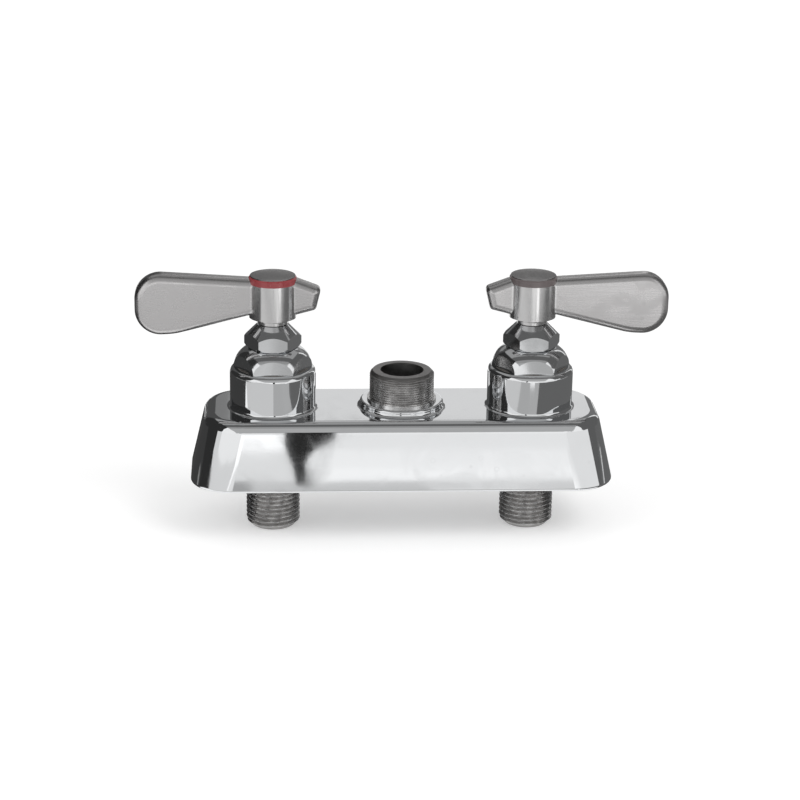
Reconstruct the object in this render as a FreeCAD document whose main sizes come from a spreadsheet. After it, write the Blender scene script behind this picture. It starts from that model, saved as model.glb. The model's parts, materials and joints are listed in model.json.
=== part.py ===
import FreeCAD, Part
import math
import os
from types import SimpleNamespace

import Sketcher
from FreeCAD import Placement, Rotation, Vector

# Deck-mounted basin tap on 4 inch centres: a cast body, two lever valves and a threaded outlet.
# Millimetres. +Z up, X through the two valves with hot at -X, the user at -Y,
# and the origin on the sink deck midway between the inlets.

SIZES = {
    # Cast body: drafted sides, rounded, open underneath
    "foot_length": 166.8,
    "foot_depth": 54.0,
    "top_length": 154.4,
    "top_depth": 46.2,
    "body_height": 27.2,
    "corner_round": 16.5,
    "top_round": 4.8,
    "foot_round": 1.0,
    "wall": 3.2,
    "inlet_centres": 101.6,
    # Valve bosses on top of the body and the barrels under them
    "boss_diameter": 33.8,
    "boss_height": 16.3,
    "boss_round": 2.0,
    "boss_fillet": 1.2,
    "barrel_diameter": 28.0,
    "barrel_lift": 1.2,
    "chamber_diameter": 20.8,
    "chamber_floor": 3.0,
    "chamber_margin": 0.5,
    # Cross passage that takes both waters to the outlet
    "passage_bore": 9.0,
    "passage_wall": 2.6,
    "passage_level": 19.5,
    # Outlet boss, mixing barrel and threaded spigot
    "outlet_boss_diameter": 33.0,
    "outlet_boss_height": 2.6,
    "outlet_boss_round": 1.0,
    "mixing_bore": 18.4,
    "mixing_wall": 3.0,
    "spigot_diameter": 25.4,
    "spigot_bore": 17.0,
    "spigot_height": 11.0,
    "spigot_chamfer": 1.2,
    "spigot_flange_diameter": 27.2,
    "spigot_flange": 0.9,
    "spigot_tail_diameter": 21.6,
    "spigot_tail": 5.0,
    "seal_ring": 1.6,
    "seal_ring_level": 1.6,
    # Threaded inlet shanks
    "shank_diameter": 21.3,
    "shank_bore": 13.0,
    "shank_reach": 22.4,
    "shank_chamfer": 2.2,
    "shank_seat_diameter": 19.6,
    "shank_stop": 1.0,
    # Screwed-in valve ring that the washer closes on
    "valve_reach": 29.5,
    "ring_bore": 8.0,
    "ring_thread_diameter": 14.4,
    "ring_flange_diameter": 17.4,
    "ring_flange": 1.2,
    "lip_height": 0.8,
    "lip_diameter": 11.0,
    "lip_crest": 0.5,
    # Washer, its swivel holder, its screw and the snap ring that holds the swivel
    "washer_diameter": 14.4,
    "washer_thickness": 3.0,
    "washer_hole": 3.8,
    "holder_diameter": 16.8,
    "holder_rim": 1.5,
    "holder_plate": 1.6,
    "stud_diameter": 6.0,
    "stud_length": 8.0,
    "washer_screw_diameter": 3.5,
    "washer_screw_length": 8.0,
    "washer_screw_head": 6.4,
    "washer_screw_head_height": 1.5,
    "snap_ring": 1.0,
    "snap_ring_gap": 40.0,
    "snap_level": 5.5,
    # Spindle with its steep three-start thread
    "spindle_rise": 3.0,
    "thread_lead": 12.0,
    "thread_crest_diameter": 17.0,
    "thread_root_diameter": 13.8,
    "thread_length": 8.0,
    "thread_rib": 2.3,
    "thread_flank": 0.5,
    "spindle_foot": 11.5,
    "stem_diameter": 10.0,
    "drive_square": 7.0,
    "drive_length": 10.3,
    "drive_hole": 4.0,
    "drive_hole_depth": 11.0,
    # Bonnet: hexagon under a dome, with the packing neck on top
    "bonnet_thread_diameter": 24.9,
    "bonnet_depth": 12.5,
    "bonnet_flats": 26.7,
    "bonnet_height": 8.1,
    "dome_radius": 8.8,
    "dome_top_diameter": 19.6,
    "bearing_length": 3.0,
    "neck_diameter": 17.8,
    "neck_height": 4.4,
    "gasket_thickness": 0.8,
    "gasket_diameter": 28.4,
    # Packing, its follower and the packing nut
    "packing_diameter": 14.6,
    "packing_height": 4.6,
    "follower_height": 7.1,
    "nut_flats": 19.4,
    "nut_lift": 0.3,
    "nut_height": 9.1,
    "nut_top_diameter": 12.4,
    "nut_chamfer": 1.1,
    # Lever handle: hub, paddle blade and short tail
    "handle_lift": 0.3,
    "hub_neck_diameter": 12.0,
    "hub_neck": 1.1,
    "hub_cone": 1.4,
    "hub_diameter": 18.6,
    "hub_height": 16.3,
    "socket_diameter": 14.8,
    "socket_depth": 3.2,
    "lever_thickness": 8.8,
    "lever_round": 3.0,
    "blade_reach": 53.4,
    "blade_top": 20.7,
    "blade_bottom": -4.7,
    "blade_heel": 15.4,
    "blade_heel_level": -4.0,
    "blade_root_top": 17.85,
    "blade_root_bottom": 4.5,
    "tip_round": 10.0,
    "heel_round": 28.0,
    "tail_reach": 18.8,
    "tail_top": 14.2,
    "tail_bottom": 5.7,
    "tail_slant": 2.0,
    "tail_root_top": 19.4,
    "tail_root_bottom": 2.5,
    "tail_round": 1.8,
    # Handle screw, coloured index ring and chromed cap
    "handle_screw_diameter": 3.8,
    "handle_screw_length": 10.0,
    "handle_screw_head": 9.0,
    "handle_screw_head_height": 2.4,
    "index_height": 2.6,
    "index_chamfer": 0.5,
    "cap_wall": 1.1,
    "cap_skirt": 2.0,
    "cap_dome": 0.5,
    # Clearances
    "thread_gap": 0.05,
    "running_gap": 0.06,
    "seat_gap": 0.05,
    "swivel_gap": 0.2,
    "lead_gap": 0.15,
    "loose_gap": 0.25,
}

THREAD_STARTS = 3
OVERCUT = 1.0  # how far a cut runs past the face that it leaves through

doc = FreeCAD.newDocument("basin_tap")
sheet = doc.addObject("Spreadsheet::Sheet", "Sizes")
for row, (name, number) in enumerate(SIZES.items(), start=1):
    sheet.set(f"A{row}", name)
    sheet.set(f"B{row}", str(number))
    sheet.setAlias(f"B{row}", name)
doc.recompute()


class Length:
    """A length that knows its number, to draw with, and its formula in the sheet, to bind to."""

    def __init__(self, number, formula):
        self.number = number
        self.formula = formula

    def __add__(self, other):
        other = as_length(other)
        return Length(self.number + other.number, f"({self.formula} + {other.formula})")

    def __radd__(self, other):
        return as_length(other) + self

    def __sub__(self, other):
        other = as_length(other)
        return Length(self.number - other.number, f"({self.formula} - {other.formula})")

    def __mul__(self, factor):
        return Length(self.number * factor, f"({self.formula} * {factor})")

    def __truediv__(self, factor):
        return Length(self.number / factor, f"({self.formula} / {factor})")

    def __neg__(self):
        return self * -1


def as_length(item):
    return item if isinstance(item, Length) else Length(float(item), str(float(item)))


size = SimpleNamespace(**{name: Length(sheet.get(name), f"Sizes.{name}") for name in SIZES})


# Levels above the deck and radii that more than one piece shares

boss_top = size.body_height + size.boss_height
lip_level = boss_top - size.valve_reach
floor_top = lip_level - size.lip_height - size.ring_flange
floor_bottom = floor_top - size.chamber_floor
washer_bottom = lip_level + size.seat_gap
washer_top = washer_bottom + size.washer_thickness
holder_top = washer_top + size.holder_plate
spindle_bottom = holder_top + size.swivel_gap
thread_bottom = spindle_bottom + size.spindle_foot
thread_top = thread_bottom + size.thread_length
relief_top = thread_top + size.spindle_rise + size.chamber_margin
bonnet_bottom = boss_top - size.bonnet_depth
bonnet_top = boss_top + size.bonnet_height
recess_floor = relief_top + size.bearing_length
packing_top = recess_floor + size.packing_height
follower_top = packing_top + size.follower_height
neck_top = bonnet_top + size.neck_height
nut_bottom = bonnet_top + size.nut_lift
nut_top = nut_bottom + size.nut_height
handle_bottom = nut_top + size.handle_lift
drive_bottom = handle_bottom + size.hub_neck + size.hub_cone / 2
drive_top = drive_bottom + size.drive_length
hub_top = handle_bottom + size.hub_height
socket_floor = hub_top - size.socket_depth
index_top = hub_top + size.index_height
outlet_boss_top = size.body_height + size.outlet_boss_height
spigot_top = outlet_boss_top + size.spigot_flange + size.spigot_height
spigot_bottom = outlet_boss_top - size.spigot_tail
mixing_floor = size.passage_level - size.passage_bore / 2

stem_radius = size.stem_diameter / 2
bore_radius = size.bonnet_thread_diameter / 2 + size.thread_gap
shank_seat_radius = size.shank_seat_diameter / 2
recess_radius = size.packing_diameter / 2 + size.running_gap
hub_radius = size.hub_diameter / 2


# Shared ways of drawing and shaping

def part_of(body, role):
    """One of the body's own origin planes or axes."""
    return next(item for item in body.Origin.OriginFeatures if item.Role == role)


def sketch_on(body, name, role, lift=None, shift=None):
    """A sketch on an origin plane, lifted off it and shifted along its own X."""
    sketch = body.newObject("Sketcher::SketchObject", name)
    sketch.AttachmentSupport = [(part_of(body, role), "")]
    sketch.MapMode = "FlatFace"
    if lift is not None:
        sketch.setExpression("AttachmentOffset.Base.z", lift.formula)
    if shift is not None:
        sketch.setExpression("AttachmentOffset.Base.x", shift.formula)
    return sketch


def bind(sketch, kind, *places_and_length):
    """Add one dimension to a sketch and bind it to the sheet."""
    *places, length = places_and_length
    index = sketch.addConstraint(Sketcher.Constraint(kind, *places, length.number))
    sketch.setExpression(f"Constraints[{index}]", length.formula)


def draw_outline(sketch, corners):
    """Closed outline, anticlockwise. A corner is (across, up); a third value rounds the way to the next."""
    corners = [tuple(as_length(item) for item in corner) for corner in corners]
    points = [Vector(corner[0].number, corner[1].number, 0) for corner in corners]
    for corner, start, end in zip(corners, points, points[1:] + points[:1]):
        if len(corner) == 2:
            sketch.addGeometry(Part.LineSegment(start, end), False)
            continue
        radius = corner[2].number
        chord = end - start
        outward = Vector(chord.y, -chord.x, 0).normalize()
        rise = radius - math.sqrt(radius ** 2 - (chord.Length / 2) ** 2)
        sketch.addGeometry(Part.Arc(start, (start + end) / 2 + outward * rise, end), False)
    for index, corner in enumerate(corners):
        following = (index + 1) % len(corners)
        sketch.addConstraint(Sketcher.Constraint("Coincident", index, 2, following, 1))
        if corner[0].number:
            bind(sketch, "DistanceX", -1, 1, index, 1, corner[0])
        else:
            sketch.addConstraint(Sketcher.Constraint("PointOnObject", index, 1, -2))
        if corner[1].number:
            bind(sketch, "DistanceY", -1, 1, index, 1, corner[1])
        else:
            sketch.addConstraint(Sketcher.Constraint("PointOnObject", index, 1, -1))
        if len(corner) == 3:
            bind(sketch, "Radius", index, corner[2])


def draw_circle(sketch, radius, up=None):
    """Circle on the sketch's vertical axis."""
    centre = Vector(0, up.number if up else 0, 0)
    index = sketch.addGeometry(Part.Circle(centre, Vector(0, 0, 1), radius.number), False)
    if up is None:
        sketch.addConstraint(Sketcher.Constraint("Coincident", index, 3, -1, 1))
    else:
        sketch.addConstraint(Sketcher.Constraint("PointOnObject", index, 3, -2))
        bind(sketch, "DistanceY", -1, 1, index, 3, up)
    bind(sketch, "Radius", index, radius)


def draw_polygon(sketch, sides, across_corners, turn):
    """Regular polygon about the origin, its first corner at the angle turn."""
    radius = across_corners / 2
    first = sketch.GeometryCount
    angles = [turn + 2 * math.pi * step / sides for step in range(sides + 1)]
    points = [Vector(math.cos(angle), math.sin(angle), 0) * radius.number for angle in angles]
    for start, end in zip(points, points[1:]):
        sketch.addGeometry(Part.LineSegment(start, end), False)
    guide = sketch.addGeometry(Part.Circle(Vector(0, 0, 0), Vector(0, 0, 1), radius.number), True)
    rules = [Sketcher.Constraint("Coincident", guide, 3, -1, 1)]
    for step in range(sides):
        following = first + (step + 1) % sides
        rules.append(Sketcher.Constraint("Coincident", first + step, 2, following, 1))
        rules.append(Sketcher.Constraint("PointOnObject", first + step, 1, guide))
        if step:
            rules.append(Sketcher.Constraint("Equal", first, first + step))
    if turn:
        rules.append(Sketcher.Constraint("Horizontal", first))
    else:
        rules.append(Sketcher.Constraint("PointOnObject", first, 1, -1))
    sketch.addConstraint(rules)
    bind(sketch, "Radius", guide, radius)


def turned(body, name, corners, shift=None, cut=False):
    """Turn an outline of (radius, level) corners about the upright axis, to add or to cut."""
    sketch = sketch_on(body, f"{name}_outline", "XZ_Plane", shift=shift)
    draw_outline(sketch, corners)
    feature = body.newObject("PartDesign::Groove" if cut else "PartDesign::Revolution", name)
    feature.Profile = sketch
    feature.ReferenceAxis = (sketch, ["V_Axis"])
    feature.Angle = 360
    return feature


def flats(body, name, across_flats, bottom, height, widest):
    """Cut flats on a turned head, with two corners on the X axis."""
    sketch = sketch_on(body, f"{name}_outline", "XY_Plane", lift=bottom)
    draw_polygon(sketch, 6, across_flats * (2 / math.sqrt(3)), 0)
    draw_circle(sketch, widest)
    feature = body.newObject("PartDesign::Pocket", name)
    feature.Profile = sketch
    feature.Reversed = True
    feature.setExpression("Length", height.formula)


def round_edges(body, name, radius, chosen):
    """Round each edge of the body that the test picks out."""
    doc.recompute()
    base = body.Tip
    edges = [f"Edge{index}" for index, edge in enumerate(base.Shape.Edges, start=1) if chosen(edge)]
    feature = body.newObject("PartDesign::Fillet", name)
    feature.Base = (base, edges)
    feature.setExpression("Radius", radius.formula)
    return feature


def on_outer_foot(edge):
    """Test for the outer edges of the foot, which lie further out than the wall's inner edges."""
    box = edge.BoundBox
    half_length = size.foot_length.number / 2
    half_depth = size.foot_depth.number / 2
    return (abs(box.ZMin) < 1e-4 and abs(box.ZMax) < 1e-4
            and (max(abs(box.XMin), abs(box.XMax)) > half_length - 1e-3
                 or max(abs(box.YMin), abs(box.YMax)) > half_depth - 1e-3))


def circle_at(radius, level, across=0.0):
    """Test for a full or part circle of that radius about an upright axis at x = across or -across."""
    def chosen(edge):
        if not isinstance(edge.Curve, Part.Circle):
            return False
        centre = edge.Curve.Center
        return (abs(edge.Curve.Radius - radius.number) < 1e-3 and abs(centre.z - level.number) < 1e-3
                and abs(abs(centre.x) - across) < 1e-3)
    return chosen


def set_on_axis(body, side):
    """Stand a valve piece on its own axis: hot at -X, cold at +X and turned half round."""
    if side > 0:
        body.Placement = Placement(Vector(0, 0, 0), Rotation(Vector(0, 0, 1), 180))
    body.setExpression("Placement.Base.x", (size.inlet_centres * (side / 2)).formula)
    return body


def new_body(name):
    body = doc.addObject("PartDesign::Body", name)
    body.Label = name
    return body


# Cast body

def cast_body():
    """Drafted, rounded shell with its bosses, barrels and cross passage, bored for what it holds."""
    body = new_body("faucet_body")
    wedge = body.newObject("PartDesign::AdditiveWedge", "drafted_block")
    wedge.AttachmentSupport = [(part_of(body, "XZ_Plane"), "")]
    wedge.MapMode = "FlatFace"
    wedge.Ymin = 0
    wedge.setExpression("Ymax", size.body_height.formula)
    for low, high, length in (("Xmin", "Xmax", size.foot_length), ("Zmin", "Zmax", size.foot_depth),
                              ("X2min", "X2max", size.top_length), ("Z2min", "Z2max", size.top_depth)):
        wedge.setExpression(low, (-length / 2).formula)
        wedge.setExpression(high, (length / 2).formula)
    top = size.body_height.number
    round_edges(body, "upright_rounds", size.corner_round,
                lambda edge: abs(edge.Vertexes[0].Z - edge.Vertexes[-1].Z) > top / 2)
    round_edges(body, "top_rounds", size.top_round,
                lambda edge: all(abs(vertex.Z - top) < 1e-4 for vertex in edge.Vertexes))
    doc.recompute()
    underside = [f"Face{index}" for index, face in enumerate(body.Tip.Shape.Faces, start=1)
                 if face.CenterOfMass.z < 1e-4]
    shell = body.newObject("PartDesign::Thickness", "shell")
    shell.Base = (body.getObject("top_rounds"), underside)
    shell.setExpression("Value", size.wall.formula)
    shell.Reversed = True
    roof_bottom = size.body_height - size.wall

    round_edges(body, "foot_rounds", size.foot_round, on_outer_foot)

    # Cross passage, from one valve barrel to the other
    tube = sketch_on(body, "passage_outline", "YZ_Plane")
    draw_circle(tube, size.passage_bore / 2 + size.passage_wall, up=size.passage_level)
    passage = body.newObject("PartDesign::Pad", "passage")
    passage.Profile = tube
    passage.SideType = "Symmetric"
    passage.setExpression("Length", size.inlet_centres.formula)

    # A barrel below the roof and a boss above it at each valve, and the same at the outlet
    for name, side in (("hot", -1), ("cold", 1)):
        turned(body, f"{name}_boss", [
            (0, size.barrel_lift),
            (size.barrel_diameter / 2, size.barrel_lift),
            (size.barrel_diameter / 2, roof_bottom),
            (size.boss_diameter / 2, roof_bottom),
            (size.boss_diameter / 2, boss_top),
            (0, boss_top),
        ], shift=size.inlet_centres * (side / 2))
    mixing_radius = size.mixing_bore / 2
    tail_radius = size.spigot_tail_diameter / 2 + size.thread_gap
    turned(body, "outlet_boss", [
        (0, mixing_floor - size.mixing_wall),
        (tail_radius + size.mixing_wall, mixing_floor - size.mixing_wall),
        (tail_radius + size.mixing_wall, roof_bottom),
        (size.outlet_boss_diameter / 2, roof_bottom),
        (size.outlet_boss_diameter / 2, outlet_boss_top),
        (0, outlet_boss_top),
    ])
    valve_across = size.inlet_centres.number / 2
    round_edges(body, "boss_fillets", size.boss_fillet,
                circle_at(size.boss_diameter / 2, size.body_height, valve_across))
    round_edges(body, "boss_rounds", size.boss_round,
                circle_at(size.boss_diameter / 2, boss_top, valve_across))
    round_edges(body, "outlet_fillet", size.boss_fillet,
                circle_at(size.outlet_boss_diameter / 2, size.body_height))
    round_edges(body, "outlet_round", size.outlet_boss_round,
                circle_at(size.outlet_boss_diameter / 2, outlet_boss_top))

    # Bores: shank socket, valve ring hole, chamber, bonnet thread and gasket recess
    for name, side in (("hot", -1), ("cold", 1)):
        socket_radius = shank_seat_radius + size.thread_gap
        ring_hole = size.ring_thread_diameter / 2 + size.thread_gap
        chamber_radius = size.chamber_diameter / 2
        chamber_top = bonnet_bottom - size.chamber_margin
        gasket_radius = size.gasket_diameter / 2 + size.running_gap
        turned(body, f"{name}_bore", [
            (0, 0),
            (socket_radius, 0),
            (socket_radius, floor_bottom),
            (ring_hole, floor_bottom),
            (ring_hole, floor_top),
            (chamber_radius, floor_top),
            (chamber_radius, chamber_top),
            (bore_radius, chamber_top),
            (bore_radius, boss_top - size.gasket_thickness),
            (gasket_radius, boss_top - size.gasket_thickness),
            (gasket_radius, boss_top + OVERCUT),
            (0, boss_top + OVERCUT),
        ], shift=size.inlet_centres * (side / 2), cut=True)
    turned(body, "outlet_bore", [
        (0, mixing_floor),
        (mixing_radius, mixing_floor),
        (mixing_radius, spigot_bottom),
        (tail_radius, spigot_bottom),
        (tail_radius, outlet_boss_top + OVERCUT),
        (0, outlet_boss_top + OVERCUT),
    ], cut=True)
    water = sketch_on(body, "passage_bore_outline", "YZ_Plane")
    draw_circle(water, size.passage_bore / 2, up=size.passage_level)
    bore = body.newObject("PartDesign::Pocket", "passage_bore")
    bore.Profile = water
    bore.SideType = "Symmetric"
    bore.setExpression("Length", size.inlet_centres.formula)
    return body


# Outlet

def outlet_spigot():
    """Brass spigot screwed into the outlet boss; the spout's collar screws on its upper thread."""
    body = new_body("outlet_spigot")
    tail_radius = size.spigot_tail_diameter / 2
    spigot_radius = size.spigot_diameter / 2
    groove_radius = tail_radius - size.seal_ring
    groove_bottom = spigot_bottom + size.seal_ring_level
    turned(body, "spigot", [
        (size.spigot_bore / 2, spigot_bottom),
        (tail_radius, spigot_bottom),
        (tail_radius, groove_bottom),
        (groove_radius, groove_bottom),
        (groove_radius, groove_bottom + size.seal_ring),
        (tail_radius, groove_bottom + size.seal_ring),
        (tail_radius, outlet_boss_top),
        (size.spigot_flange_diameter / 2, outlet_boss_top),
        (size.spigot_flange_diameter / 2, outlet_boss_top + size.spigot_flange),
        (spigot_radius, outlet_boss_top + size.spigot_flange),
        (spigot_radius, spigot_top - size.spigot_chamfer),
        (spigot_radius - size.spigot_chamfer, spigot_top),
        (size.spigot_bore / 2, spigot_top),
    ])
    return body


# Valve pieces, bottom to top

def inlet_shank(name):
    """Brass supply shank, screwed up into its barrel by the thinner end above the deck."""
    body = new_body(name)
    radius = size.shank_diameter / 2
    length = size.shank_reach + floor_bottom - size.shank_stop
    turned(body, "shank", [
        (size.shank_bore / 2, 0),
        (radius - size.shank_chamfer, 0),
        (radius, size.shank_chamfer),
        (radius, size.shank_reach),
        (shank_seat_radius, size.shank_reach),
        (shank_seat_radius, length),
        (size.shank_bore / 2, length),
    ])
    body.setExpression("Placement.Base.z", (-size.shank_reach).formula)
    return body


def valve_ring(name):
    """Renewable ring screwed into the chamber floor, with the raised lip that the washer closes."""
    body = new_body(name)
    flange_top = floor_top + size.ring_flange
    lip_middle = (size.ring_bore + size.lip_diameter) / 4
    turned(body, "ring", [
        (size.ring_bore / 2, floor_bottom),
        (size.ring_thread_diameter / 2, floor_bottom),
        (size.ring_thread_diameter / 2, floor_top),
        (size.ring_flange_diameter / 2, floor_top),
        (size.ring_flange_diameter / 2, flange_top),
        (size.lip_diameter / 2, flange_top),
        (lip_middle + size.lip_crest / 2, lip_level),
        (lip_middle - size.lip_crest / 2, lip_level),
        (size.ring_bore / 2, flange_top),
    ])
    return body


def valve_washer(name):
    """Flat rubber washer."""
    body = new_body(name)
    turned(body, "washer", [
        (size.washer_hole / 2, washer_bottom),
        (size.washer_diameter / 2, washer_bottom),
        (size.washer_diameter / 2, washer_top),
        (size.washer_hole / 2, washer_top),
    ])
    return body


def washer_holder(name):
    """Brass cup over the washer, with the stud that swivels in the spindle."""
    body = new_body(name)
    stud_radius = size.stud_diameter / 2
    stud_top = holder_top + size.stud_length
    groove_radius = stud_radius - size.snap_ring / 2
    groove_bottom = holder_top + size.snap_level
    hole_radius = size.washer_screw_diameter / 2 + size.thread_gap
    hole_top = washer_top + size.washer_screw_length - size.washer_thickness + size.loose_gap
    turned(body, "cup_and_stud", [
        (hole_radius, washer_top),
        (size.washer_diameter / 2 + size.thread_gap, washer_top),
        (size.washer_diameter / 2 + size.thread_gap, washer_top - size.holder_rim),
        (size.holder_diameter / 2, washer_top - size.holder_rim),
        (size.holder_diameter / 2, holder_top),
        (stud_radius, holder_top),
        (stud_radius, groove_bottom),
        (groove_radius, groove_bottom),
        (groove_radius, groove_bottom + size.snap_ring),
        (stud_radius, groove_bottom + size.snap_ring),
        (stud_radius, stud_top),
        (0, stud_top),
        (0, hole_top),
        (hole_radius, hole_top),
    ])
    return body


def screw(name, head_radius, head_height, radius, length, seat, down):
    """Cheese-head screw; seat is the level of its head's bearing face."""
    body = new_body(name)
    way = -1 if down else 1
    corners = [
        (0, seat + length * way),
        (radius, seat + length * way),
        (radius, seat),
        (head_radius, seat),
        (head_radius, seat - head_height * way),
        (0, seat - head_height * way),
    ]
    turned(body, "screw", corners if down else corners[::-1])
    return body


def lifting_lobes(name, inner, outer, rib, bottom, height, side):
    """Twisted bar with a rib for each thread start; rib is a rib's height along the axis at its root."""
    lead = size.thread_lead.number
    half_root = math.pi * rib.number / lead
    half_crest = math.pi * (rib - size.thread_flank * 2).number / lead

    def at(radius, angle):
        return Vector(radius.number * math.cos(angle), radius.number * math.sin(angle), bottom.number)

    edges = []
    for start in range(THREAD_STARTS):
        middle = 2 * math.pi * start / THREAD_STARTS
        valley = middle + math.pi / THREAD_STARTS
        next_root = middle + 2 * math.pi / THREAD_STARTS - half_root
        edges += [
            Part.LineSegment(at(inner, middle - half_root), at(outer, middle - half_crest)),
            Part.Arc(at(outer, middle - half_crest), at(outer, middle), at(outer, middle + half_crest)),
            Part.LineSegment(at(outer, middle + half_crest), at(inner, middle + half_root)),
            Part.Arc(at(inner, middle + half_root), at(inner, valley), at(inner, next_root)),
        ]
    foot = Vector(0, 0, bottom.number)
    spine = Part.LineSegment(foot, foot + Vector(0, 0, height.number)).toShape()
    guide = Part.makeHelix(lead, height.number, outer.number, 0, side > 0)
    guide.translate(foot)
    sweep = Part.BRepOffsetAPI.MakePipeShell(Part.Wire(spine))
    sweep.setAuxiliarySpine(Part.Wire(guide.Edges), True, 0)
    sweep.add(Part.Wire([edge.toShape() for edge in edges]), False, False)
    sweep.build()
    sweep.makeSolid()
    bar = doc.addObject("Part::Feature", name)
    bar.Shape = sweep.shape()
    return bar


def spindle(name, side):
    """Spindle: swivel bore, three-start thread, stem, square drive and screw hole."""
    body = new_body(f"{name}_turned")
    root_radius = size.thread_root_diameter / 2
    swivel_radius = size.stud_diameter / 2 + size.running_gap
    swivel_top = holder_top + size.stud_length + size.swivel_gap
    groove_radius = size.stud_diameter / 2 + size.snap_ring / 2 + size.running_gap
    groove_bottom = holder_top + size.snap_level - size.running_gap
    groove_top = groove_bottom + size.snap_ring + size.running_gap * 2
    turned(body, "turned_spindle", [
        (swivel_radius, spindle_bottom),
        (root_radius, spindle_bottom),
        (root_radius, thread_top),
        (stem_radius, thread_top),
        (stem_radius, drive_bottom),
        (0, drive_bottom),
        (0, swivel_top),
        (swivel_radius, swivel_top),
        (swivel_radius, groove_top),
        (groove_radius, groove_top),
        (groove_radius, groove_bottom),
        (swivel_radius, groove_bottom),
    ])
    drive = sketch_on(body, "drive_outline", "XY_Plane", lift=drive_bottom)
    draw_polygon(drive, 4, size.drive_square * math.sqrt(2), math.pi / 4)
    square = body.newObject("PartDesign::Pad", "drive")
    square.Profile = drive
    square.setExpression("Length", size.drive_length.formula)
    turned(body, "screw_hole", [
        (0, drive_top - size.drive_hole_depth),
        (size.drive_hole / 2, drive_top - size.drive_hole_depth),
        (size.drive_hole / 2, drive_top + OVERCUT),
        (0, drive_top + OVERCUT),
    ], cut=True)
    joined = doc.addObject("Part::Fuse", name)
    joined.Base = body
    joined.Tool = lifting_lobes(f"{name}_thread", root_radius, size.thread_crest_diameter / 2,
                                size.thread_rib, thread_bottom, size.thread_length, side)
    return joined


def bonnet(name, side):
    """Bonnet: screwed into the boss, three-start nut thread inside, stem bearing, packing recess."""
    body = new_body(f"{name}_turned")
    minor_radius = size.thread_root_diameter / 2 + size.lead_gap
    major_radius = size.thread_crest_diameter / 2 + size.lead_gap
    thread_end = relief_top - size.spindle_rise
    bearing_radius = stem_radius + size.running_gap
    corner_radius = size.bonnet_flats / math.sqrt(3)
    turned(body, "turned_bonnet", [
        (minor_radius, bonnet_bottom),
        (size.bonnet_thread_diameter / 2, bonnet_bottom),
        (size.bonnet_thread_diameter / 2, boss_top),
        (corner_radius, boss_top, size.dome_radius),
        (size.dome_top_diameter / 2, bonnet_top),
        (size.neck_diameter / 2, bonnet_top),
        (size.neck_diameter / 2, neck_top),
        (recess_radius, neck_top),
        (recess_radius, recess_floor),
        (bearing_radius, recess_floor),
        (bearing_radius, relief_top),
        (major_radius, relief_top),
        (major_radius, thread_end),
        (minor_radius, thread_end),
    ])
    flats(body, "bonnet_hexagon", size.bonnet_flats, boss_top, size.bonnet_height, corner_radius + OVERCUT)
    cut = doc.addObject("Part::Cut", name)
    cut.Base = body
    cut.Tool = lifting_lobes(f"{name}_thread", minor_radius, major_radius, size.thread_rib + size.lead_gap * 2,
                             thread_bottom, thread_end - thread_bottom, side)
    return cut


def flat_ring(name, inner, outer, bottom, top, split=None):
    """Plain ring: a gasket, a packing ring, a follower or, with an angle left open, a snap ring."""
    body = new_body(name)
    ring = turned(body, "ring", [(inner, bottom), (outer, bottom), (outer, top), (inner, top)])
    if split is not None:
        ring.setExpression("Angle", (as_length(360) - split).formula)
    return body


def packing_nut(name):
    """Hexagon nut with a conical top that presses the follower down on the packing."""
    body = new_body(name)
    corner_radius = size.nut_flats / math.sqrt(3)
    thread_radius = size.neck_diameter / 2 + size.thread_gap
    hole_radius = stem_radius + size.loose_gap
    turned(body, "turned_nut", [
        (thread_radius, nut_bottom),
        (corner_radius - size.nut_chamfer, nut_bottom),
        (corner_radius, nut_bottom + size.nut_chamfer),
        (corner_radius, nut_top - (corner_radius - size.nut_top_diameter / 2)),
        (size.nut_top_diameter / 2, nut_top),
        (hole_radius, nut_top),
        (hole_radius, follower_top),
        (thread_radius, follower_top),
    ])
    flats(body, "nut_hexagon", size.nut_flats, nut_bottom, size.nut_height, corner_radius + OVERCUT)
    return body


# Handle

def crosswise_at(across, up):
    """Test for the edges along Y that pass through (across, up)."""
    def chosen(edge):
        return all(abs(vertex.X - across.number) < 1e-4 and abs(vertex.Z - up.number) < 1e-4
                   for vertex in edge.Vertexes)
    return chosen


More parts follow.
